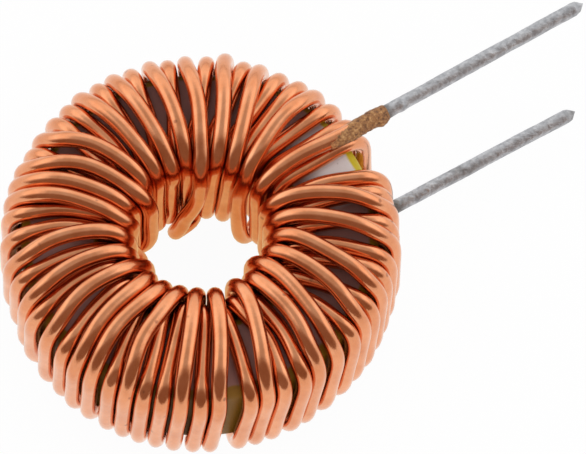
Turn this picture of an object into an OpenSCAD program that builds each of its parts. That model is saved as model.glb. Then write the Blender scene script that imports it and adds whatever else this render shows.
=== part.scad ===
// Toroidal inductor: one length of enamelled copper wire wound by hand on a coated iron-powder ring.
// The ring's axis is Z, its middle is the origin, and the two tinned wire ends leave along +X.
// The bore holds two layers of wire. Turns of the lower layer lie on the core, and turns of the upper
// layer lie in the grooves between them. On the faces each upper turn climbs over one lower turn.

/* [Core] */
// Outside diameter of the coated ring
core_od = 26.9; // [20:0.1:40]
// Bore diameter of the coated ring
core_id = 14.5; // [10:0.1:18]
// Height of the coated ring
core_h = 7.9; // [4:0.1:16]
// Radius on the ring's four edges
core_edge_r = 0.9; // [0.2:0.1:1.2]

/* [Wire] */
// Diameter of the wire over its enamel
wire_d = 1.12; // [0.6:0.01:1.3]
// Gap left between the wire and the core's faces and bore
seat_gap = 0.06; // [0.02:0.01:0.2]
// How far the wire stands off the core's outer wall, where it bows between the edges
bow_gap = 0.42; // [0.1:0.01:0.8]
// Least gap between neighbouring turns of the upper layer in the bore
turn_gap = 0.02; // [0.01:0.01:0.1]
// Centre-line radius of a turn's two bends on the outer edge
outer_bend_r = 2.1; // [1.2:0.1:2.4]
// Centre-line radius of a lower turn's two bends on the bore's edge
inner_bend_r = 1.3; // [0.8:0.1:1.5]

/* [Winding] */
// Angle between the first and the last turn on the outer wall, where the core shows
lead_gap = 13.5; // [10:0.5:25]
// Angle of the first turn on the outer wall, counted from the leads
first_turn = 2; // [0:0.5:4]
// Angle between the first turn's places on the outer wall and in the bore
first_slant = 1; // [0:0.5:3]
// Extra angle where two turns were left apart on the front of the outer wall
slip_gap = 2.6; // [0:0.1:3]
// Angle a turn leans by over the height of the outer wall, up to that place
lean_before = 1.2; // [0:0.1:3]
// Angle a turn leans by over the height of the outer wall, past that place
lean_after = 4.2; // [0:0.1:5]
// Unevenness of the turns' places on the outer wall, as an angle
unevenness = 0.28; // [0:0.01:0.4]
// How far an upper turn bows into the bore
upper_bow = 0.15; // [0:0.05:0.5]
// How far the slackest upper turn bows into the bore
slack_bow = 0.9; // [0.5:0.1:1.2]

/* [Leads] */
// Diameter of the tinned wire ends
lead_d = 1.18; // [0.6:0.01:1.4]
// Distance from the ring's axis to the tip of the upper lead
upper_reach = 34; // [25:0.5:50]
// Distance from the ring's axis to the tip of the lower lead
lower_reach = 31.5; // [25:0.5:50]
// Sideways place of the upper lead
upper_y = 0.95; // [0.5:0.05:1.5]
// Sideways place of the lower lead
lower_y = -2.1; // [-3:0.05:-1.5]
// Distance past the winding at which the round tinned wire begins
lead_start = 1.2; // [0.5:0.1:3]

/* [Hidden] */
$fn = 96;

// Levels of the wire's centre line: on the outer wall, on a face and in the bore's lower layer
wall_r = core_od / 2 + bow_gap + wire_d / 2;
face_z = core_h / 2 + seat_gap + wire_d / 2;
lower_r = core_id / 2 - seat_gap - wire_d / 2;

// An upper turn lies in the groove between two lower turns that are the angle a apart
function groove_r(a) = lower_r * cos(a / 2)
    - sqrt(max(0, pow(wire_d, 2) - pow(lower_r * sin(a / 2), 2)));
function upper_fits(n) = 2 * groove_r(360 / n) * sin(180 / n) >= wire_d + turn_gap;
// As many lower turns as leave room for an upper turn in each groove
lowers = max([for (n = [8:80]) if (upper_fits(n)) n]);
bore_step = 360 / lowers;
upper_r = groove_r(bore_step);
upper_rise = lower_r - upper_r;

// The wire goes round as pairs of one lower and one upper turn. The first upper turns run straight to
// their own groove, later ones to the groove behind it, and then to their own again. Past the bare pair
// they gain a groove at each turn, up to the groove ahead of their own.
change_back = round(lowers * 0.1);
change_own = round(lowers * 0.55);
bare_pair = change_own + 2;
slip_pair = bare_pair + 2;
function shift_before(k) = k >= change_back && k < change_own ? -1 : 0;
function shift(k) = k < bare_pair ? shift_before(k) : min(1, k - slip_pair);
// Pairs with no upper turn. In pair 0 the upper lead takes its place.
lone = [0, change_back, bare_pair, lowers - 1];
function is_lone(k) = len(search(k, lone)) > 0;

// The turns in winding order, as [pair, 0 for lower or 1 for upper]
turns = [for (k = [0:lowers - 1]) for (up = [0:is_lone(k) ? 0 : 1]) [k, up]];
count = len(turns);

// Each turn has a slot on the outer wall. One slot is left free, where the upper lead crosses the edge.
wall_step = (360 - lead_gap) / count;
function slot(i) = i == 0 ? 0 : i + 1;
// After this slot the turns are left apart, and those behind it close up again over a few slots
slip_slot = slot(search([[slip_pair, 1]], turns)[0]);
slip_fade = 7;
function slip(s) = s <= slip_slot ? 0 : slip_gap * exp(-(s - slip_slot - 1) / slip_fade);
// Two waves of unequal length, so that the unevenness does not repeat round the ring
wave_a = 137;
wave_b = 61;
function uneven(s) = unevenness * (sin(s * wave_a) + 0.8 * sin(s * wave_b));
function wall_top(i) = first_turn + slot(i) * wall_step + slip(slot(i)) + uneven(slot(i));
// The lean changes from one value to the other over this many slots
lean_slots = 12;
function ease(x) = let (t = min(1, max(0, x))) t * t * (3 - 2 * t);
function lean(s) = lean_before + (lean_after - lean_before) * ease((s - slip_slot) / lean_slots + 0.5);
function wall_bottom(i) = first_turn + slot(i) * wall_step + uneven(slot(i)) - lean(slot(i));

// Angles in the bore: a lower turn's own, and an upper turn's groove
function lower_angle(k) = first_turn + first_slant + k * bore_step;
function bore_angle(turn) = lower_angle(turn[1] == 0 ? turn[0] : turn[0] + shift(turn[0]) + 0.5);
lead_angle = lower_angle(0.5);

// Slack upper turns, as [pair, share of the full bow]
slack = [[1, 0.6], [round(lowers * 0.23), 1], [round(lowers * 0.4), 0.8], [round(lowers * 0.87), 0.7]];
function share_of(k) = max([for (s = slack) s[0] == k ? s[1] : 0]);
function bow_of(turn) = turn[1] == 0 ? 0 : max(upper_bow, slack_bow * share_of(turn[0]));

function polar(r, a) = [r * cos(a), r * sin(a)];
function at(p, z) = [p[0], p[1], z];
// A bend of radius r is drawn as two corners that lie outside the arc, this far from its ends
function corner(r) = r * (1 - tan(22.5));
outer_drop = corner(outer_bend_r);
outer_corner_r = wall_r - outer_drop;
inner_corner_r = lower_r + corner(inner_bend_r);

// Line of a turn over each face, in plan. On top it goes from the turn's place on the wall to the bore,
// and underneath from the next turn's place on the wall, or the lower lead's, to the bore.
function bore_end(i) = polar(inner_corner_r, bore_angle(turns[i]));
function top_line(i) = [on_wall(wall_top(i)), bore_end(i)];
function on_wall(a) = polar(outer_corner_r, a);
function next_wall(i) = i == count - 1 ? [outer_corner_r, lower_y] : on_wall(wall_bottom(i + 1));
function bottom_line(i) = [next_wall(i), bore_end(i)];
lower_ids = [for (i = [0:count - 1]) if (turns[i][1] == 0) i];
top_lines = [for (i = lower_ids) top_line(i)];
bottom_lines = [for (i = lower_ids) bottom_line(i)];

// Height over a face at which a wire rests on the lower turns beneath the point p. A line still counts
// for points a little past its ends.
ride_d = wire_d * 1.04;
past_end = 2;
function beside(p, l) = (p - l[0]) * (p - l[1]) < pow(past_end, 2);
function off_line(p, l) = abs(cross(l[1] - l[0], p - l[0])) / norm(l[1] - l[0]);
function rest_on(p, l) = let (s = beside(p, l) ? off_line(p, l) : ride_d)
    sqrt(max(0, pow(ride_d, 2) - s * s));
function rests(p, lines) = max([for (l = lines) rest_on(p, l)]);

// Stations of an upper turn over a face, as shares of its way from the wall to the bore. The wire is
// stiff, so at each station it lies as high as it must within a short stretch to either side.
stations = [0.1, 0.24, 0.42, 0.68];
stretch = 0.06;
function along(line, t) = line[0] + t * (line[1] - line[0]);
function highest(line, t, lines) = max([for (e = [-stretch, 0, stretch]) rests(along(line, t + e), lines)]);
function height(line, t, lines) = face_z + highest(line, t, lines);
function over(line, lines, side) = [for (t = stations) at(along(line, t), side * height(line, t, lines))];

// Corners of a turn on the wall and in the bore. An upper turn stands a little higher where it enters
// its groove, and leans into the bore on its way down.
edge_lift = 0.05;
function wall_points(i) = let (top = wall_top(i), bottom = wall_bottom(i)) [
    at(on_wall(bottom), -face_z),
    at(polar(wall_r, bottom), outer_drop - face_z),
    at(polar(wall_r, top), face_z - outer_drop),
    at(on_wall(top), face_z)];
function bore_corners(a, r, bow, z, c) = [
    at(polar(r + c, a), z),
    at(polar(r, a), z - c),
    at(polar(r - bow, a), c - z),
    at(polar(r + c, a), -z)];
function lower_corners(a) = bore_corners(a, lower_r, 0, face_z, corner(inner_bend_r));
function upper_corners(a, bow) =
    bore_corners(a, upper_r, bow, face_z + upper_rise + edge_lift, corner(inner_bend_r + upper_rise));

function reverse(list) = [for (i = [len(list) - 1:-1:0]) list[i]];
function lower_turn(i) = concat(wall_points(i), lower_corners(bore_angle(turns[i])));
function upper_turn(i) = concat(
    wall_points(i),
    over(top_line(i), top_lines, 1),
    upper_corners(bore_angle(turns[i]), bow_of(turns[i])),
    reverse(over(bottom_line(i), bottom_lines, -1)));

// The upper lead comes over the top of the first turns, and the lower lead leaves from the last one.
// The wound wire runs on into each round lead by its own diameter.
lead_z = face_z + ride_d;
winding_edge = wall_r + wire_d / 2;
lead_from = winding_edge + lead_start;
run_on = lead_from + wire_d;
first_bottom = [on_wall(wall_bottom(0)), polar(inner_corner_r, lead_angle)];
route = concat(
    [[run_on, upper_y, lead_z], [outer_corner_r, upper_y, lead_z]],
    upper_corners(lead_angle, 0),
    reverse(over(first_bottom, bottom_lines, -1)),
    [for (i = [0:count - 1]) each turns[i][1] == 0 ? lower_turn(i) : upper_turn(i)],
    [[outer_corner_r, lower_y, -face_z], [run_on, lower_y, -face_z]]);

// The tube has 8 sides, or fewer where thin wire makes so many turns that it would have too many facets
most_sides = 8;
least_sides = 4;
most_facets = 12500;
facets_a_side = 2 * len(route);
tube_sides = max(least_sides, min(most_sides, floor(most_facets / facets_a_side)));

// A tube along a route: a ring of corners at its start is carried on to the mitre plane of each bend
function unit(v) = v / norm(v);
function heading(p, i) = unit(p[i + 1] - p[i]);
function mitre(p, i) = i == len(p) - 1 ? heading(p, i - 1) : unit(heading(p, i - 1) + heading(p, i));
function turned(u, v, j) = cos(j * 360 / tube_sides) * u + sin(j * 360 / tube_sides) * v;
function first_ring(p, r) = let (d = heading(p, 0), u = unit(cross(d, [0, 0, 1])), v = cross(d, u))
    [for (j = [0:tube_sides - 1]) p[0] + r * turned(u, v, j)];
function carried(ring, p, i) = let (d = heading(p, i - 1), m = mitre(p, i))
    [for (q = ring) q + d * (((p[i] - q) * m) / (d * m))];
function rings(p, r) = [for (i = 0, ring = first_ring(p, r); i < len(p);
    i = i + 1, ring = i < len(p) ? carried(ring, p, i) : ring) each ring];
function side_faces(a, b) = [[a, a + tube_sides, b], [b, a + tube_sides, b + tube_sides]];

module tube(p, d) {
    last = (len(p) - 1) * tube_sides;
    start_face = [for (j = [0:tube_sides - 1]) j];
    end_face = [for (j = [tube_sides - 1:-1:0]) last + j];
    sides = [for (i = [0:tube_sides:last - 1]) for (j = [0:tube_sides - 1])
        each side_faces(i + j, i + (j + 1) % tube_sides)];
    polyhedron(rings(p, d / 2), concat([start_face], sides, [end_face]));
}

// Round tinned end of the wire
module lead(y, z, tip) {
    translate([lead_from, y, z])
        rotate([0, 90, 0])
            cylinder(d = lead_d, h = tip - lead_from);
}

module rounded_section(w, h, r) {
    translate([r, 0]) square([w - 2 * r, h]);
    translate([0, r]) square([w, h - 2 * r]);
    for (x = [r, w - r], y = [r, h - r]) translate([x, y]) circle(r);
}

// Pressed ring of iron powder with rounded edges and a baked coat of paint
module core() {
    color("khaki")
        rotate_extrude()
            translate([core_id / 2, -core_h / 2])
                rounded_section((core_od - core_id) / 2, core_h, core_edge_r);
}

// The whole length of wire: lead, turns and lead
module winding() {
    color("peru")
        union() {
            tube(route, wire_d);
            lead(upper_y, lead_z, upper_reach);
            lead(lower_y, -face_z, lower_reach);
        }
}

core();
winding();
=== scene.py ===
import math

import bpy
import numpy as np
from mathutils import Matrix, Vector, noise


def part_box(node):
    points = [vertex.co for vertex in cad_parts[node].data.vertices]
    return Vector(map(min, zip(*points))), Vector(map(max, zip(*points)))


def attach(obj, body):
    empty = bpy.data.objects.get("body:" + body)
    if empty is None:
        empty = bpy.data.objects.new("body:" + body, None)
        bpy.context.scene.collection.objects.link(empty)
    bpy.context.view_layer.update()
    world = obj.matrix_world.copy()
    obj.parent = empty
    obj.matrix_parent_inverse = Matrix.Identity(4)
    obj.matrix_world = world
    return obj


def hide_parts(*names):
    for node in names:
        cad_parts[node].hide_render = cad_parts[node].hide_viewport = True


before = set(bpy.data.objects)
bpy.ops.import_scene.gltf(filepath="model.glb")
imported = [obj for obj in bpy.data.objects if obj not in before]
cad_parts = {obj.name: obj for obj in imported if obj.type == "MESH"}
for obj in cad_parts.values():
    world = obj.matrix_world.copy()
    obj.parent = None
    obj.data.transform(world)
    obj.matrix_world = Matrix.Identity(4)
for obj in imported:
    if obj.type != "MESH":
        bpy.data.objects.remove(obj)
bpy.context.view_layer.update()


# Core: a ring of pressed iron powder under a baked coat of epoxy paint. The sides and the bore are
# yellow, and the upper face is white up to the start of the rounded edge. The wire holds it.
# Sizes are in millimetres and angles in degrees, here and below, and mm turns a size to metres.
mm = 0.001
core_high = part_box("core")[1]
core_outer = core_high.x / mm
core_half = core_high.z / mm
core_bore = 7.25
core_edge = 0.9
core_middle = (core_outer + core_bore) / 2
core_flat = (core_outer - core_bore) / 2 - core_edge
white_from, white_to = core_bore + 0.75, core_outer - 0.72


def core_profile():
    """Rounded section of the ring, as radius and height, anticlockwise."""
    steps = 8
    points = []
    for quarter, (side, level) in enumerate([(1, -1), (1, 1), (-1, 1), (-1, -1)]):
        for i in range(steps + 1):
            angle = math.radians(-90 + 90 * quarter + 90 * i / steps)
            points.append((
                core_middle + side * core_flat + core_edge * math.cos(angle),
                level * (core_half - core_edge) + core_edge * math.sin(angle),
            ))
    return points


def lathed_core():
    """The ring as a mesh, with shallow hollows in its surface, as pressed powder has."""
    profile = core_profile()
    around, n = 240, len(profile)
    points, faces = [], []
    for i in range(around):
        angle = 2 * math.pi * i / around
        for radius, height in profile:
            spot = Vector((radius * math.cos(angle), radius * math.sin(angle), height))
            hollow = min(0.0, 0.02 * noise.noise(spot * 0.6) + 0.012 * noise.noise(spot * 2.1))
            r = radius + hollow if radius > core_middle else radius - hollow
            points.append((r * math.cos(angle) * mm, r * math.sin(angle) * mm, height * mm))
        a, b = i * n, ((i + 1) % around) * n
        faces += [(a + j, b + j, b + (j + 1) % n, a + (j + 1) % n) for j in range(n)]
    mesh = bpy.data.meshes.new("painted_core")
    mesh.from_pydata(points, [], faces)
    mesh.shade_smooth()
    return mesh


def placed(name, data):
    """Puts a mesh or the camera in the scene, as an object at the origin."""
    thing = bpy.data.objects.new(name, data)
    bpy.context.collection.objects.link(thing)
    return thing


def linear(code):
    """An sRGB hex colour as linear red, green, blue and alpha."""
    values = [int(code[i:i + 2], 16) / 255 for i in (1, 3, 5)]
    return [v / 12.92 if v <= 0.04045 else ((v + 0.055) / 1.055) ** 2.4 for v in values] + [1.0]


def per_metre(size):
    """A pattern's scale from the size of its marks in millimetres."""
    return 1 / (size * mm)


def add_node(tree, kind, links=None, **settings):
    """Adds a node. links maps an input's name or number to a value or another node's output."""
    node = tree.nodes.new(kind)
    for name, value in settings.items():
        setattr(node, name, value)
    for name, value in (links or {}).items():
        if isinstance(value, bpy.types.NodeSocket):
            tree.links.new(value, node.inputs[name])
        else:
            node.inputs[name].default_value = value
    return node


def new_material(name):
    material = bpy.data.materials.new(name)
    material.use_nodes = True
    material.node_tree.nodes.clear()
    return material, material.node_tree


def finish_material(tree, shader):
    output = add_node(tree, "ShaderNodeOutputMaterial")
    tree.links.new(shader.outputs[0], output.inputs["Surface"])


# Baked epoxy paint: a smooth, slightly wavy dielectric skin. It looks satin, with fine orange peel,
# a few specks of dust and an uneven border where the white face ends. Under the wire the colour is
# painted darker and browner, as painted shade and painted light reflected from the copper all round
# it.
material, tree = new_material("baked epoxy paint, yellow with white face")
place = add_node(tree, "ShaderNodeTexCoord").outputs["Object"]
axes = add_node(tree, "ShaderNodeSeparateXYZ", {0: place})
flat = add_node(tree, "ShaderNodeCombineXYZ", {"X": axes.outputs["X"], "Y": axes.outputs["Y"]})
radius = add_node(tree, "ShaderNodeVectorMath", {0: flat.outputs[0]}, operation="LENGTH")

# The border of the white wanders by a fraction of a millimetre and is blurred over less.
wander, blur = 0.5, 0.18
waves = add_node(tree, "ShaderNodeTexNoise", {
    "Vector": place, "Scale": per_metre(1.43), "Detail": 3.0})
shifted = add_node(tree, "ShaderNodeMath", {
    0: waves.outputs[0], 1: wander * mm, 2: radius.outputs["Value"]}, operation="MULTIPLY_ADD")
outer_border = add_node(tree, "ShaderNodeMapRange", {
    "Value": shifted.outputs[0], "From Min": (white_to + blur) * mm,
    "From Max": (white_to + 2 * blur) * mm, "To Min": 1.0, "To Max": 0.0})
inner_border = add_node(tree, "ShaderNodeMapRange", {
    "Value": shifted.outputs[0], "From Min": (white_from + blur) * mm,
    "From Max": (white_from + 2 * blur) * mm})
upper_side = add_node(tree, "ShaderNodeMath", {
    0: axes.outputs["Z"], 1: 0.5 * core_half * mm}, operation="GREATER_THAN")
inside = add_node(tree, "ShaderNodeMath", {
    0: outer_border.outputs[0], 1: inner_border.outputs[0]}, operation="MULTIPLY")
white = add_node(tree, "ShaderNodeMath", {
    0: inside.outputs[0], 1: upper_side.outputs[0]}, operation="MULTIPLY")
blotch = add_node(tree, "ShaderNodeTexNoise", {
    "Vector": place, "Scale": per_metre(3.85), "Detail": 4.0})
yellow = add_node(tree, "ShaderNodeMix", {
    "Factor": blotch.outputs[0], 6: linear("#C4AC1C"), 7: linear("#E2CE36")}, data_type="RGBA")
pale = add_node(tree, "ShaderNodeMix", {
    "Factor": blotch.outputs[0], 6: linear("#DDD5D3"), 7: linear("#EEE7E5")}, data_type="RGBA")
plain = add_node(tree, "ShaderNodeMix", {
    "Factor": white.outputs[0], 6: yellow.outputs[2], 7: pale.outputs[2]}, data_type="RGBA")

# Only the strip between the two leads is bare of wire and keeps the paint's own colour. Elsewhere
# the
# colour is multiplied by a brown: painted shade under the wire, with painted reflected copper
# light.
outwards = add_node(tree, "ShaderNodeMapRange", {
    "Value": axes.outputs["X"], "From Min": 8.5 * mm, "From Max": 10.5 * mm})
off_axis = add_node(tree, "ShaderNodeMath", {0: axes.outputs["Y"]}, operation="ABSOLUTE")
strip = add_node(tree, "ShaderNodeMapRange", {
    "Value": off_axis.outputs[0], "From Min": 2.4 * mm, "From Max": 3.6 * mm,
    "To Min": 1.0, "To Max": 0.0})
bare = add_node(tree, "ShaderNodeMath", {
    0: outwards.outputs[0], 1: strip.outputs[0]}, operation="MULTIPLY")
# Painted shade and painted copper reflection: a brown for the yellow, a reddish brown for the
# white.
painted_copper_shade = add_node(tree, "ShaderNodeMix", {
    "Factor": white.outputs[0], 6: linear("#9A6A36"), 7: linear("#9C5E50")}, data_type="RGBA")
painted_shade_under_wire = add_node(tree, "ShaderNodeMix", {
    "Factor": 0.9, 6: plain.outputs[2], 7: painted_copper_shade.outputs[2]},
    data_type="RGBA", blend_type="MULTIPLY")
paint = add_node(tree, "ShaderNodeMix", {
    "Factor": bare.outputs[0], 6: painted_shade_under_wire.outputs[2], 7: plain.outputs[2]}, data_type="RGBA")
specks = add_node(tree, "ShaderNodeTexVoronoi", {
    "Vector": place, "Scale": per_metre(0.714), "Randomness": 1.0})
speck = add_node(tree, "ShaderNodeMapRange", {
    "Value": specks.outputs["Distance"], "From Min": 0.06, "From Max": 0.13,
    "To Min": 0.45, "To Max": 0.0})
dusty = add_node(tree, "ShaderNodeMix", {
    "Factor": speck.outputs[0], 6: paint.outputs[2], 7: linear("#6E6040")}, data_type="RGBA")
peel = add_node(tree, "ShaderNodeTexNoise", {
    "Vector": place, "Scale": per_metre(0.556), "Detail": 2.0})
bump = add_node(tree, "ShaderNodeBump", {
    "Strength": 0.35, "Distance": 0.04 * mm, "Height": peel.outputs[0]})
coat = add_node(tree, "ShaderNodeBsdfPrincipled", {
    "Base Color": dusty.outputs[2], "Roughness": 0.5, "IOR": 1.52, "Specular IOR Level": 0.25,
    "Normal": bump.outputs[0]})
finish_material(tree, coat)

core = placed("painted_core", lathed_core())
core.data.materials.append(material)
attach(core, "root")
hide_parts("core")


# Winding: one length of drawn copper wire under clear enamel, wound on by hand. It fills the bore
# with a layer on the core and a layer in the grooves between, and its own spring holds it.
wire = 1.26
seat = 0.03
step = 0.4

# Where the wire's centre line runs: on the outer wall, on the faces and in the bore's two layers.
wall_r = core_outer + 0.34 + wire / 2
face_z = core_half + seat + wire / 2
ride_z = face_z + wire * 1.07
lower_r = core_bore - seat - wire / 2
upper_r = lower_r - 1.08
table_z = 5.9

# The leads: how far each lies from the plane through the ring's axis, how it slants, and how high
# the upper one runs.
upper_y, lower_y = 0.95, -2.1
upper_tilt, lower_tilt = 0.026, 0.006
tilt_from = 15
lead_z = face_z + wire

# The turns in the order they were wound: the angle at the rim, half way over the face and in the
# bore. A fourth number marks an upper turn, and is where that turn leaves the bore below.
turns = [
    (3, 3, 3), (9, 10.5, 13.5), (16.5, 19.5, 24), (23, 25.5, 23, 20.5), (29, 31, 33.5),
    (35.5, 38.5, 44), (42, 40, 36, 44), (47, 49.5, 54.5), (53, 50, 47.5, 55.5), (58.5, 60, 65),
    (65, 61, 60, 61.5), (70.5, 71.5, 75.5), (76, 72.5, 71, 74), (82, 83, 86),
    (88, 85.5, 84, 86.5), (93, 93.5, 96.5), (99.5, 97, 96.5, 99), (104.5, 103, 107),
    (110.5, 113, 117.5), (118, 110.5, 108, 111), (122.5, 124, 128), (129, 121, 119.5, 122.5),
    (134, 131.5, 131.5, 134), (139.5, 137, 142, 145.5), (144.5, 140.5, 142),
    (152.5, 148, 152.5), (161, 156, 154.5, 157.5), (167, 162.5, 163), (175, 170, 169, 170),
    (179.5, 174.5, 173.5), (187.5, 182.5, 183, 183), (194, 189.5, 187),
    (199.8, 197.5, 198, 197), (205.6, 203, 209.5, 210), (212, 208.5, 203),
    (217.5, 215.5, 221, 222.5), (223, 221.5, 217), (228.8, 229, 229),
    (234.6, 235.5, 236.5, 237), (240.6, 241.7, 243.5), (246.3, 249.3, 252, 252.5),
    (256, 256.5, 254), (261.5, 266, 272, 270), (267, 270, 264), (274, 277.5, 275),
    (279, 283.5, 284, 283), (286.5, 291, 297.5, 296.5), (294, 295.5, 286.5),
    (299.5, 305.5, 310.5, 310), (304.5, 305, 298), (311, 316, 324, 323), (315.5, 317, 309),
    (321.5, 323.5, 320), (328, 332.5, 337, 337), (333, 334.5, 330.5), (339, 344.5, 350, 351),
    (343.5, 345, 341), (348.5, 353, 351.5),
]
count = len(turns)
hand = np.random.default_rng(12)
wall_top = np.array([t[0] for t in turns], float)
# Past the place where the turns slipped apart, they lean further over on the wall.
lean = np.clip((wall_top - 215) / 60, 0, 1)
wall_bottom = wall_top - 1.4 - 3.6 * lean + hand.normal(0, 0.2, count)

# Slack upper turns, by their number from 0: radius, angle and height where each hangs in the bore.
slack = {
    3: [(upper_r - 0.5, 24, 3.4), (upper_r - 0.9, 22, 0.5), (upper_r - 1.1, 18, -3.4),
        (5.3, 17.5, -5.6)],
    10: [(upper_r - 0.6, 60, 3.6), (upper_r - 0.9, 65, 0.6), (upper_r - 1.0, 75, -2.2),
         (4.5, 87, -4.4), (4.7, 85, -5.8), (5.6, 72, -5.9)],
    12: [(upper_r + 0.2, 72, 4.4), (upper_r + 0.2, 75.5, -4.4)],
    30: [(upper_r - 0.5, 181, 3.2), (upper_r - 0.5, 181, -1.0), (upper_r - 0.2, 181, -3.4)],
}


def on_ring(r, angle, z):
    angle = math.radians(angle)
    return (r * math.cos(angle), r * math.sin(angle), z)


def bend(r):
    """How far to set back each of the two corners that stand for an arc of radius r."""
    return r * (1 - math.tan(math.radians(22.5)))


def down_bore(upper, top, foot, inward=0.0, loose=None):
    """Corners of a turn on its way down the bore. upper is 1 for the inner layer and 0 for the
    outer one, top and foot are angles, and inward is how far it stands off its layer."""
    r = upper_r if upper else lower_r
    wider = 0.93 * upper
    lip, tight = bend(1.3 + wider), bend(0.8 + wider)
    z = face_z + 0.98 * upper
    hang = loose or [(r - inward, top, z - lip), (r - 0.3 * inward, foot, tight - z)]
    return ([on_ring(r + lip - inward, top, z)] + [on_ring(*point) for point in hang]
            + [on_ring(r + tight, foot, -z)])


def over_face(rim, half_way, bore, z):
    """Corners of a turn on its way in over the upper face."""
    known_r, known = [6.5, 10, 13.4], [bore, half_way, rim]
    return [on_ring(r, np.interp(r, known_r, known), z) for r in (12, 11, 10, 9, 8.2)]


def under_face(a, b, z):
    """Corners of a turn on its way out under the lower face, straight from a to b."""
    return [((1 - t) * a[0] + t * b[0], (1 - t) * a[1] + t * b[1], z)
            for t in (0.2, 0.45, 0.7, 0.85)]


def laid_route():
    """The wire's centre line as laid, before it springs and settles."""
    drop = bend(2.1)
    edge = wall_r - drop
    inner = upper_r + 1.3
    start = 7.5
    # The upper lead comes in over the face and goes down the bore ahead of all the turns.
    route = [(16.2, upper_y + 1.2 * upper_tilt, lead_z), (tilt_from, upper_y, lead_z),
             (12.4, upper_y, lead_z), on_ring(9.5, 7, ride_z)]
    route += down_bore(1, start, start, 0.1)
    route += under_face(on_ring(inner, start, 0), on_ring(edge, wall_bottom[0], 0), -ride_z)
    for i, (rim, half_way, bore, *foot) in enumerate(turns):
        # Up the wall. The turns there bow out a little on one side, and the ninth most of all.
        bow = hand.normal(0, 0.06) + 0.15 * math.cos(math.radians(rim - 60)) + 0.25 * (i == 8)
        low, high = wall_bottom[i], wall_top[i]
        rise = 0.55 if foot else 0.0
        route += [on_ring(edge, low, -face_z),
                  on_ring(wall_r + bow, low, drop - face_z),
                  on_ring(wall_r + bow, high, face_z - drop + 0.4 * rise),
                  on_ring(edge, high, face_z + rise)]
        last = i + 1 == count
        after = (edge, lower_y, 0) if last else on_ring(edge, wall_bottom[i + 1], 0)
        if foot:
            inward = 0.1 + 0.3 * (170 < bore < 320)
            route += over_face(rim, half_way, bore, ride_z)
            route += down_bore(1, bore, foot[0], inward, slack.get(i))
            route += under_face(on_ring(inner, foot[0], 0), after, -ride_z)
        else:
            # Behind the slack turns the lower ones slant, and at the front they stand inwards.
            below = bore + 5 * (25 < bore < 60)
            route += over_face(rim, half_way, bore, face_z)
            route += down_bore(0, bore, below, 0.7 * (200 < bore < 300))
            route += under_face(on_ring(lower_r + 1, below, 0), after, -face_z)
    return route + [(edge, lower_y, -face_z), (14.9, lower_y, -face_z)]


def spaced(points, gap):
    """The same line with its points evenly spaced, about gap apart."""
    points = np.array(points, float)
    along = np.r_[0, np.cumsum(np.linalg.norm(np.diff(points, axis=0), axis=1))]
    stops = np.linspace(0, along[-1], int(round(along[-1] / gap)) + 1)
    return np.stack([np.interp(stops, along, points[:, axis]) for axis in range(3)], 1)


def rounded(p, passes):
    """Eases the corners of the laid wire, as a wire this stiff would not take them."""
    for _ in range(passes):
        p[1:-1] = (p[:-2] + 2 * p[1:-1] + p[2:]) / 4
    return p


def close_pairs(p, reach, apart):
    """Pairs of points nearer than reach that are more than apart points from each other along
    the wire."""
    q = p.astype(np.float32)
    square = (q * q).sum(1)
    block = 500
    firsts, seconds = [], []
    for start in range(0, len(q), block):
        rows = slice(start, start + block)
        gaps = square[rows, None] + square[None] - 2 * q[rows] @ q.T
        i, j = np.nonzero(gaps < reach * reach)
        i = i + start
        firsts.append(i[j - i > apart])
        seconds.append(j[j - i > apart])
    return np.concatenate(firsts), np.concatenate(seconds)


def off_core(p, clear):
    """Pushes points out until they are clear of the core's rounded section."""
    r = np.hypot(p[:, 0], p[:, 1])
    q = np.stack([np.abs(r - core_middle) - core_flat,
                  np.abs(p[:, 2]) - (core_half - core_edge)], 1)
    out = np.maximum(q, 0)
    length = np.linalg.norm(out, axis=1)
    depth = length + np.minimum(q.max(1), 0) - core_edge
    tiny = 1e-9
    towards = np.where((length < tiny)[:, None], np.eye(2)[q.argmax(1)],
                       out / np.maximum(length, tiny)[:, None])
    towards *= np.sign(np.stack([r - core_middle, p[:, 2]], 1))
    push = np.maximum(clear - depth, 0)
    p[:, :2] += (towards[:, 0] * push / r)[:, None] * p[:, :2]
    p[:, 2] += towards[:, 1] * push


def settled(p, rounds):
    """Lets the laid wire spring: it straightens, draws tight, and turns and core push each other
    apart. The ends of the leads are held."""
    hold, stiff, pull, yielding = 0.02, 0.45, 0.02, 0.4
    apart = wire + 0.03
    held, look_again = 12, 12
    home = p.copy()
    n = len(p)
    free = np.ones((n, 1))
    free[:held] = free[-held:] = 0
    for now in range(rounds):
        if now % look_again == 0:
            i, j = close_pairs(p, wire + 0.5, int(2.4 / step))
        slope = np.zeros_like(p)
        slope[1:-1] = (p[:-2] + p[2:]) / 2 - p[1:-1]
        curve = np.zeros_like(p)
        curve[1:-1] = (slope[:-2] + slope[2:]) / 2 - slope[1:-1]
        p = p + free * (pull * slope - stiff * curve + hold * (home - p))
        for _ in range(2):
            between = p[i] - p[j]
            gap = np.sqrt((between * between).sum(1))
            near = gap < apart
            move = between[near] * (yielding * (apart - gap[near]) / gap[near])[:, None]
            for axis in range(3):
                p[:, axis] += free[:, 0] * (np.bincount(i[near], move[:, axis], n)
                                            - np.bincount(j[near], move[:, axis], n))
            off_core(p, wire / 2 + seat)
            p[:, 2] = np.clip(p[:, 2], -table_z, table_z + 0.1)
    return p


path = settled(rounded(spaced(laid_route(), step), 5), 260)


def line_object(name, points):
    """A plain line of edges through the points."""
    mesh = bpy.data.meshes.new(name)
    edges = [(i, i + 1) for i in range(len(points) - 1)]
    mesh.from_pydata([tuple(q * mm) for q in points], edges, [])
    return placed(name, mesh)


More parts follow.
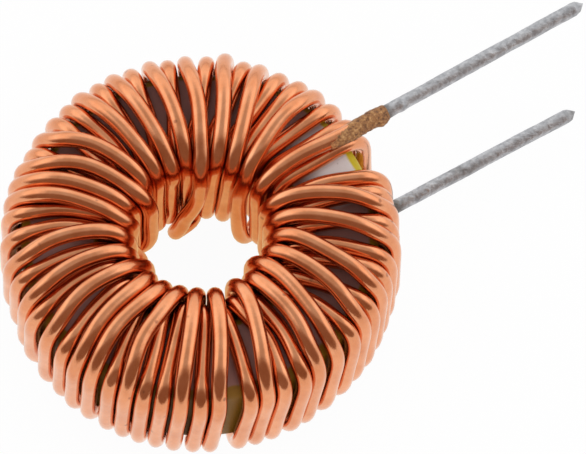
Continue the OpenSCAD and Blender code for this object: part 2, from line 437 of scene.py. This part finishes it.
def wire_tree(material):
    """Round wire along a line: named inputs give its diameter, its sides and how uneven it is."""
    tree = bpy.data.node_groups.new("drawn wire along a line", "GeometryNodeTree")
    face = tree.interface
    face.new_socket("Line", in_out="INPUT", socket_type="NodeSocketGeometry")
    for name, kind, value in [("Diameter", "NodeSocketFloat", wire * mm),
                              ("Sides", "NodeSocketInt", 16),
                              ("Unevenness", "NodeSocketFloat", 0.022 * mm),
                              ("Seed", "NodeSocketInt", 4)]:
        socket = face.new_socket(name, in_out="INPUT", socket_type=kind)
        socket.default_value = value
    face.new_socket("Wire", in_out="OUTPUT", socket_type="NodeSocketGeometry")
    given = tree.nodes.new("NodeGroupInput")
    curve = add_node(tree, "GeometryNodeMeshToCurve", {"Mesh": given.outputs["Line"]})
    length = add_node(tree, "GeometryNodeSplineParameter")
    marked = add_node(tree, "GeometryNodeStoreNamedAttribute", {
        "Geometry": curve.outputs[0], "Name": "along", "Value": length.outputs["Length"]},
        data_type="FLOAT", domain="POINT")
    radius = add_node(tree, "ShaderNodeMath", {
        0: given.outputs["Diameter"], 1: 0.5}, operation="MULTIPLY")
    ring = add_node(tree, "GeometryNodeCurvePrimitiveCircle", {
        "Resolution": given.outputs["Sides"], "Radius": radius.outputs[0]})
    turn = add_node(tree, "GeometryNodeSplineParameter")
    marked_ring = add_node(tree, "GeometryNodeStoreNamedAttribute", {
        "Geometry": ring.outputs[0], "Name": "around", "Value": turn.outputs["Factor"]},
        data_type="FLOAT", domain="POINT")
    tube = add_node(tree, "GeometryNodeCurveToMesh", {
        "Curve": marked.outputs[0], "Profile Curve": marked_ring.outputs[0], "Fill Caps": True})
    # A ripple every 2.2 mm, as hands leave in soft copper.
    spot = add_node(tree, "GeometryNodeInputPosition")
    seed = add_node(tree, "ShaderNodeMath", {
        0: given.outputs["Seed"], 1: 0.37}, operation="MULTIPLY")
    ripple = add_node(tree, "ShaderNodeTexNoise", {
        "Vector": spot.outputs[0], "W": seed.outputs[0], "Scale": 450.0, "Detail": 2.0},
        noise_dimensions="4D")
    level = add_node(tree, "ShaderNodeMath", {0: ripple.outputs[0], 1: 0.5}, operation="SUBTRACT")
    amount = add_node(tree, "ShaderNodeMath", {
        0: level.outputs[0], 1: given.outputs["Unevenness"]}, operation="MULTIPLY")
    normal = add_node(tree, "GeometryNodeInputNormal")
    shift = add_node(tree, "ShaderNodeVectorMath", {
        0: normal.outputs[0], "Scale": amount.outputs[0]}, operation="SCALE")
    uneven = add_node(tree, "GeometryNodeSetPosition", {
        "Geometry": tube.outputs[0], "Offset": shift.outputs[0]})
    smooth = add_node(tree, "GeometryNodeSetShadeSmooth", {"Geometry": uneven.outputs[0]})
    real = add_node(tree, "GeometryNodeRealizeInstances", {"Geometry": smooth.outputs[0]})
    named = add_node(tree, "GeometryNodeSetMaterial", {
        "Geometry": real.outputs[0], "Material": material})
    result = tree.nodes.new("NodeGroupOutput")
    tree.links.new(named.outputs[0], result.inputs["Wire"])
    return tree


def grown(line, tree, **sizes):
    """Runs a tree on a line with the given sizes and keeps the result as a plain mesh."""
    modifier = line.modifiers.new("wire", "NODES")
    modifier.node_group = tree
    for item in tree.interface.items_tree:
        if item.item_type == "SOCKET" and item.in_out == "INPUT" and item.name in sizes:
            modifier[item.identifier] = sizes[item.name]
    graph = bpy.context.evaluated_depsgraph_get()
    mesh = bpy.data.meshes.new_from_object(line.evaluated_get(graph))
    line.modifiers.remove(modifier)
    line.data = mesh
    return line


# Enamelled copper wire: a drawn metal under two thin coats of clear amber enamel. The enamel gives
# broad satin highlights, and the copper under it turns deep orange and red between the turns.
material, tree = new_material("enamelled copper wire")
place = add_node(tree, "ShaderNodeTexCoord").outputs["Object"]
along = add_node(tree, "ShaderNodeAttribute", attribute_name="along").outputs["Fac"]
around = add_node(tree, "ShaderNodeAttribute", attribute_name="around").outputs["Fac"]

# Drawing lines run along the wire, 7.7 mm long, with forty of them round it. Real ones are a few
# microns wide and are drawn about 0.1 mm wide, so that they show.
stretched = add_node(tree, "ShaderNodeMath", {0: along, 1: 130.0}, operation="MULTIPLY")
parted = add_node(tree, "ShaderNodeMath", {0: around, 1: 40.0}, operation="MULTIPLY")
lines_at = add_node(tree, "ShaderNodeCombineXYZ", {
    "X": stretched.outputs[0], "Y": parted.outputs[0]})
lines = add_node(tree, "ShaderNodeTexNoise", {
    "Vector": lines_at.outputs[0], "Scale": 1.0, "Detail": 3.0})
tone = add_node(tree, "ShaderNodeTexNoise", {
    "Vector": place, "Scale": per_metre(1.67), "Detail": 5.0, "Roughness": 0.6})
smear = add_node(tree, "ShaderNodeMapRange", {
    "Value": tone.outputs[0], "From Min": 0.3, "From Max": 0.7})
body = add_node(tree, "ShaderNodeMix", {
    "Factor": smear.outputs[0], 6: linear("#DF9160"), 7: linear("#F2AD82")}, data_type="RGBA")
pits = add_node(tree, "ShaderNodeTexVoronoi", {
    "Vector": place, "Scale": per_metre(2.38), "Randomness": 1.0})
pit = add_node(tree, "ShaderNodeMapRange", {
    "Value": pits.outputs["Distance"], "From Min": 0.05, "From Max": 0.09,
    "To Min": 0.55, "To Max": 0.0})
worn = add_node(tree, "ShaderNodeMix", {
    "Factor": pit.outputs[0], 6: body.outputs[2], 7: linear("#7A3C1C")}, data_type="RGBA")
gloss = add_node(tree, "ShaderNodeMapRange", {
    "Value": lines.outputs[0], "From Min": 0.3, "From Max": 0.7, "To Min": 0.15, "To Max": 0.24})
grain = add_node(tree, "ShaderNodeTexNoise", {
    "Vector": place, "Scale": per_metre(0.4), "Detail": 2.0})
height = add_node(tree, "ShaderNodeMath", {
    0: lines.outputs[0], 1: 0.6, 2: grain.outputs[0]}, operation="MULTIPLY_ADD")
bump = add_node(tree, "ShaderNodeBump", {
    "Strength": 0.25, "Distance": 0.03 * mm, "Height": height.outputs[0]})
copper = add_node(tree, "ShaderNodeBsdfPrincipled", {
    "Base Color": worn.outputs[2], "Metallic": 1.0, "Roughness": gloss.outputs[0],
    "Coat Weight": 0.7, "Coat Roughness": 0.12, "Coat IOR": 1.55, "Coat Tint": linear("#FFEBD6"),
    "Normal": bump.outputs[0]})
finish_material(tree, copper)

wound = grown(line_object("wound_wire", path), wire_tree(material),
              Diameter=wire * mm, Sides=16, Unevenness=0.022 * mm, Seed=4)
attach(wound, "root")
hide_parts("winding")


# Tinned wire ends: each was dipped in solder, which burnt the enamel off and left a thick, uneven,
# dull coat. The tips were pinched off with side cutters, which leaves a blunt point.
def tube_object(name, points, sides):
    """A closed tube through rings of points, each ring with this many sides."""
    last = len(points) - sides
    faces = []
    for a in range(0, last, sides):
        b = a + sides
        faces += [(a + j, a + (j + 1) % sides, b + (j + 1) % sides, b + j) for j in range(sides)]
    faces += [tuple(reversed(range(sides))), tuple(range(last, last + sides))]
    mesh = bpy.data.meshes.new(name)
    mesh.from_pydata(points, [], faces)
    mesh.shade_smooth()
    return placed(name, mesh)


def tinned_end(name, x_from, x_to, y, tilt, z, lumps, drip=None):
    """A dipped end from x_from to x_to. lumps picks the pattern of the coat, and drip is where a
    drop froze on it: how far along, how thick, and towards which side."""
    sides, gap = 28, 0.11
    coated_r, collar, collar_length = 0.53, 0.09, 0.6
    cut_length, cut_depth, cut_edge, drip_length = 0.85, 0.5, 0.12, 0.35
    rings = int((x_to - x_from) / gap)
    points = []
    for i in range(rings + 1):
        x = x_from + (x_to - x_from) * i / rings
        left = x_to - x
        pinch = min(1.0, max(0.0, left / cut_length))
        tall = cut_edge + (1 - cut_edge) * pinch ** 0.8
        broad = 1 - 0.1 * (1 - pinch)
        for j in range(sides):
            a = 2 * math.pi * j / sides
            way = Vector((0, math.cos(a), math.sin(a)))
            spot = Vector((x * 0.45, 0, 0)) + way * 0.6
            r = (coated_r + collar * math.exp((x_from - x) / collar_length)
                 + 0.035 * noise.noise(spot + Vector((lumps, 0, 0))))
            r += 0.014 * noise.noise(Vector((x * 2.2, lumps, 0)) + way * 2)
            r += 0.006 * noise.noise(Vector((x * 7, lumps, 0)) + way * 6)
            if drip:
                at, thick, side = drip
                near = math.exp(-((x - at) / drip_length) ** 2)
                r += thick * near * max(0, way.dot(Vector(side)))
            slope = cut_depth * (1 - pinch) * abs(way.y)
            across = y + tilt * (x - tilt_from) + r * broad * way.y
            points.append(((x - slope) * mm, across * mm, (z + r * tall * way.z) * mm))
    return tube_object(name, points, sides)


# Solder coat: tin alloy that froze rough. It is a dull grey metal with a bright grain, and brown
# flux is left in its hollows.
material, tree = new_material("hot-dipped solder")
place = add_node(tree, "ShaderNodeTexCoord").outputs["Object"]
crust = add_node(tree, "ShaderNodeTexNoise", {
    "Vector": place, "Scale": per_metre(0.385), "Detail": 4.0})
cloud = add_node(tree, "ShaderNodeTexNoise", {
    "Vector": place, "Scale": per_metre(2.38), "Detail": 3.0})
metal = add_node(tree, "ShaderNodeMix", {
    "Factor": crust.outputs[0], 6: linear("#7E8086"), 7: linear("#F0F1F3")}, data_type="RGBA")
axes = add_node(tree, "ShaderNodeSeparateXYZ", {0: place})
# The grey-brown patches grow towards the ring end of each lead.
root = add_node(tree, "ShaderNodeMapRange", {
    "Value": axes.outputs["X"], "From Min": 15.6 * mm, "From Max": 17.2 * mm,
    "To Min": 0.35, "To Max": 0.0})
patches_towards_ring = add_node(tree, "ShaderNodeMath", {0: cloud.outputs[0], 1: root.outputs[0]}, operation="ADD")
stain = add_node(tree, "ShaderNodeMapRange", {
    "Value": patches_towards_ring.outputs[0], "From Min": 0.55, "From Max": 0.75, "To Min": 0.0, "To Max": 0.7})
dull = add_node(tree, "ShaderNodeMix", {
    "Factor": stain.outputs[0], 6: metal.outputs[2], 7: linear("#6A645C")}, data_type="RGBA")
rough = add_node(tree, "ShaderNodeMapRange", {
    "Value": cloud.outputs[0], "From Min": 0.3, "From Max": 0.7, "To Min": 0.5, "To Max": 0.68})
bump = add_node(tree, "ShaderNodeBump", {
    "Strength": 1.0, "Distance": 0.12 * mm, "Height": crust.outputs[0]})
solder = add_node(tree, "ShaderNodeBsdfPrincipled", {
    "Base Color": dull.outputs[2], "Metallic": 1.0, "Roughness": rough.outputs[0],
    "Normal": bump.outputs[0]})
finish_material(tree, solder)

upper_end = tinned_end("tinned_end_upper", 15.9, 34.2, upper_y, upper_tilt, lead_z, 3.0,
                       (17.9, 0.2, (0, -0.5, 0.8)))
lower_end = tinned_end("tinned_end_lower", 14.5, 31.95, lower_y, lower_tilt, -face_z, 8.0)
for end in (upper_end, lower_end):
    end.data.materials.append(material)
    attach(end, "root")
    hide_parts("winding")


# Scorched enamel: above the solder bath's level the heat blistered the enamel into a brown, gritty
# crust, with a lump where the solder stopped.
def scorched_sleeve():
    x_from, x_to, sides, rings = 11.6, 16.7, 64, 120
    start_length, end_length = 2.0, 0.35
    sunk, thick = 0.07, 0.12
    lump_at, lump_thick, lump_length = 16.05, 0.22, 0.42
    lump_side = Vector((0, -0.87, -0.1))
    points = []
    for i in range(rings + 1):
        x = x_from + (x_to - x_from) * i / rings
        depth = min(1.0, (x - x_from) / start_length)
        close = math.sqrt(min(1.0, (x_to - x) / end_length))
        for j in range(sides):
            a = 2 * math.pi * j / sides
            way = Vector((0, math.cos(a), math.sin(a)))
            spot = Vector((x, 0, 0)) + way * 0.7
            ragged = (0.06 * noise.noise(spot * 1.3) + 0.045 * noise.noise(spot * 4)
                      + 0.02 * noise.noise(spot * 10))
            r = wire / 2 - sunk + thick * depth * close + ragged * (0.4 + 0.6 * depth) * close
            lump = max(0.0, way.dot(lump_side))
            r += lump_thick * lump * math.exp(-((x - lump_at) / lump_length) ** 2)
            y = upper_y + upper_tilt * (x - tilt_from) + r * way.y
            points.append((x * mm, y * mm, (lead_z + r * way.z) * mm))
    return tube_object("scorched_enamel", points, sides)


# Blistered enamel: a brittle brown resin. It is matt, with a grain of a quarter of a millimetre,
# and coppery where it is thin. Its raised grains are painted pale as painted highlights, and its
# hollows dark as painted shade.
material, tree = new_material("blistered enamel")
place = add_node(tree, "ShaderNodeTexCoord").outputs["Object"]
grit = add_node(tree, "ShaderNodeTexNoise", {
    "Vector": place, "Scale": per_metre(0.263), "Detail": 5.0, "Roughness": 0.65})
patch = add_node(tree, "ShaderNodeTexNoise", {
    "Vector": place, "Scale": per_metre(1.43), "Detail": 3.0})
brown = add_node(tree, "ShaderNodeMix", {
    "Factor": patch.outputs[0], 6: linear("#85522A"), 7: linear("#B57E48")}, data_type="RGBA")
axes = add_node(tree, "ShaderNodeSeparateXYZ", {0: place})
scorch = add_node(tree, "ShaderNodeMath", {
    0: patch.outputs[0], 1: 3.0 * mm, 2: axes.outputs["X"]}, operation="MULTIPLY_ADD")
deep = add_node(tree, "ShaderNodeMapRange", {
    "Value": scorch.outputs[0], "From Min": 12.2 * mm, "From Max": 14.2 * mm})
toned = add_node(tree, "ShaderNodeMix", {
    "Factor": deep.outputs[0], 6: linear("#DE9160"), 7: brown.outputs[2]}, data_type="RGBA")
# Painted highlights: the raised grains of the crust are painted pale.
painted_grain_highlights = add_node(tree, "ShaderNodeMapRange", {
    "Value": grit.outputs[0], "From Min": 0.52, "From Max": 0.7, "To Min": 0.0, "To Max": 0.8})
# Painted shade: the hollows of the grain are painted dark.
hollows = add_node(tree, "ShaderNodeMapRange", {
    "Value": grit.outputs[0], "From Min": 0.38, "From Max": 0.48, "To Min": 0.75, "To Max": 0.0})
shaded_in_hollows = add_node(tree, "ShaderNodeMix", {
    "Factor": hollows.outputs[0], 6: toned.outputs[2], 7: linear("#54301A")}, data_type="RGBA")
burnt = add_node(tree, "ShaderNodeMix", {
    "Factor": painted_grain_highlights.outputs[0], 6: shaded_in_hollows.outputs[2], 7: linear("#E0AC70")}, data_type="RGBA")
thin = add_node(tree, "ShaderNodeMath", {0: 1.0, 1: deep.outputs[0]}, operation="SUBTRACT")
bump = add_node(tree, "ShaderNodeBump", {
    "Strength": 1.0, "Distance": 0.14 * mm, "Height": grit.outputs[0]})
resin = add_node(tree, "ShaderNodeBsdfPrincipled", {
    "Base Color": burnt.outputs[2], "Metallic": thin.outputs[0], "Roughness": 0.5, "IOR": 1.5,
    "Normal": bump.outputs[0]})
finish_material(tree, resin)

scorched = scorched_sleeve()
scorched.data.materials.append(material)
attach(scorched, "root")
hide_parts("winding")


# Table, light and camera: a plain white table under a light tent. The tent glows at both sides and
# is dark where the camera looks in.
azimuth, elevation = math.radians(-31.1), math.radians(65.7)
towards_camera = Vector((math.sin(azimuth) * math.cos(elevation),
                         -math.cos(azimuth) * math.cos(elevation),
                         math.sin(elevation)))
towards_opening = Vector((math.sin(azimuth), -math.cos(azimuth), 0))
image_right = Vector((math.cos(azimuth), math.sin(azimuth), 0))
image_up = towards_camera.cross(image_right)

mesh = bpy.data.meshes.new("table")
half, top = 1500 * mm, -6.58 * mm
corners = [(-half, -half, top), (half, -half, top), (half, half, top), (-half, half, top)]
mesh.from_pydata(corners, [], [(0, 1, 2, 3)])
table = placed("table", mesh)

# White board. The patch inside the bore lies in the ring's shade and takes colour from it, and the
# wire there mirrors that patch. The far end of the table is beyond the lamps.
material, tree = new_material("white table")
spot = add_node(tree, "ShaderNodeTexCoord").outputs["Object"]
axes = add_node(tree, "ShaderNodeSeparateXYZ", {0: spot})
flat = add_node(tree, "ShaderNodeCombineXYZ", {"X": axes.outputs["X"], "Y": axes.outputs["Y"]})
away = add_node(tree, "ShaderNodeVectorMath", {0: flat.outputs[0]}, operation="LENGTH")
outside = add_node(tree, "ShaderNodeMapRange", {
    "Value": away.outputs["Value"], "From Min": 4 * mm, "From Max": 12 * mm})
far = add_node(tree, "ShaderNodeMapRange", {
    "Value": away.outputs["Value"], "From Min": 20 * mm, "From Max": 60 * mm,
    "To Min": 0.97, "To Max": 0.35})
mirrored_tone = add_node(tree, "ShaderNodeMix", {
    "Factor": outside.outputs[0], 6: linear("#EACE9C"), 7: linear("#FFFFFF")}, data_type="RGBA")
seen = add_node(tree, "ShaderNodeLightPath")
direct = add_node(tree, "ShaderNodeMath", {
    0: seen.outputs["Is Camera Ray"], 1: 0.96}, operation="MULTIPLY")
mirrored = add_node(tree, "ShaderNodeMath", {
    0: seen.outputs["Is Glossy Ray"], 1: far.outputs[0]}, operation="MULTIPLY")
part = add_node(tree, "ShaderNodeMath", {
    0: direct.outputs[0], 1: mirrored.outputs[0]}, operation="MAXIMUM")
tone = add_node(tree, "ShaderNodeMix", {
    "Factor": seen.outputs["Is Camera Ray"], 6: mirrored_tone.outputs[2], 7: linear("#FFFFFF")},
    data_type="RGBA")
glow = add_node(tree, "ShaderNodeEmission", {"Color": tone.outputs[2], "Strength": 1.0})
board = add_node(tree, "ShaderNodeBsdfDiffuse", {"Color": linear("#F4F4F4")})
mixed = add_node(tree, "ShaderNodeMixShader", {
    0: part.outputs[0], 1: board.outputs[0], 2: glow.outputs[0]})
finish_material(tree, mixed)
table.data.materials.append(material)

# Light tent: what metal mirrors of it has an opening at the front, a dim ceiling, a dim skirt near
# the table and a brighter panel on each side. Everything else is lit by an even white.
world = bpy.data.worlds.new("light tent")
bpy.context.scene.world = world
world.use_nodes = True
tree = world.node_tree
tree.nodes.clear()
direction = add_node(tree, "ShaderNodeTexCoord").outputs["Generated"]
facing = add_node(tree, "ShaderNodeVectorMath", {
    0: direction, 1: towards_opening}, operation="DOT_PRODUCT")
opening = add_node(tree, "ShaderNodeMapRange", {
    "Value": facing.outputs["Value"], "From Min": -0.08, "From Max": 0.42},
    interpolation_type="SMOOTHSTEP")
height = add_node(tree, "ShaderNodeSeparateXYZ", {0: direction})
ceiling = add_node(tree, "ShaderNodeMapRange", {
    "Value": height.outputs["Z"], "From Min": 0.72, "From Max": 0.95,
    "To Min": 1.0, "To Max": 0.5}, interpolation_type="SMOOTHSTEP")
skirt = add_node(tree, "ShaderNodeMapRange", {
    "Value": height.outputs["Z"], "From Min": -0.1, "From Max": 0.35,
    "To Min": 0.55, "To Max": 1.0})
sideways = add_node(tree, "ShaderNodeVectorMath", {
    0: direction, 1: image_right}, operation="DOT_PRODUCT")
aside = add_node(tree, "ShaderNodeMath", {0: sideways.outputs["Value"]}, operation="ABSOLUTE")
panels = add_node(tree, "ShaderNodeMapRange", {
    "Value": aside.outputs[0], "From Min": 0.3, "From Max": 0.9, "To Min": 1.1, "To Max": 1.32},
    interpolation_type="SMOOTHSTEP")
walls = add_node(tree, "ShaderNodeMath", {
    0: ceiling.outputs[0], 1: skirt.outputs[0]}, operation="MULTIPLY")
bright = add_node(tree, "ShaderNodeMath", {
    0: walls.outputs[0], 1: panels.outputs[0]}, operation="MULTIPLY")
level = add_node(tree, "ShaderNodeMix", {
    0: opening.outputs[0], 2: bright.outputs[0], 3: 1.0})
lit = add_node(tree, "ShaderNodeMix", {
    "Factor": opening.outputs[0], 6: linear("#FFFFFF"), 7: linear("#8E7466")}, data_type="RGBA")
seen = add_node(tree, "ShaderNodeLightPath")
tone = add_node(tree, "ShaderNodeMix", {
    "Factor": seen.outputs["Is Glossy Ray"], 6: linear("#FFFFFF"), 7: lit.outputs[2]},
    data_type="RGBA")
shown = add_node(tree, "ShaderNodeMix", {
    0: seen.outputs["Is Glossy Ray"], 2: 1.0, 3: level.outputs[0]})
sky = add_node(tree, "ShaderNodeBackground", {
    "Color": tone.outputs[2], "Strength": shown.outputs[0]})
output = add_node(tree, "ShaderNodeOutputWorld")
tree.links.new(sky.outputs[0], output.inputs["Surface"])

distance, view_width, sensor = 600 * mm, 44.23 * mm, 36
aim_right, aim_up, roll = 7.0, 2.08, math.radians(1.3)
camera = placed("camera", bpy.data.cameras.new("camera"))
bpy.context.scene.camera = camera
camera.data.sensor_width = sensor
camera.data.lens = sensor * distance / view_width
camera.data.clip_start, camera.data.clip_end = 10 * mm, 10
turned_right = image_right * math.cos(roll) + image_up * math.sin(roll)
turned_up = image_up * math.cos(roll) - image_right * math.sin(roll)
aim = (turned_right * aim_right + turned_up * aim_up) * mm
camera.matrix_world = Matrix.Translation(aim + towards_camera * distance) @ Matrix(
    (turned_right, turned_up, towards_camera)).transposed().to_4x4()

bpy.context.scene.view_settings.view_transform = "Standard"

bpy.context.view_layer.update()
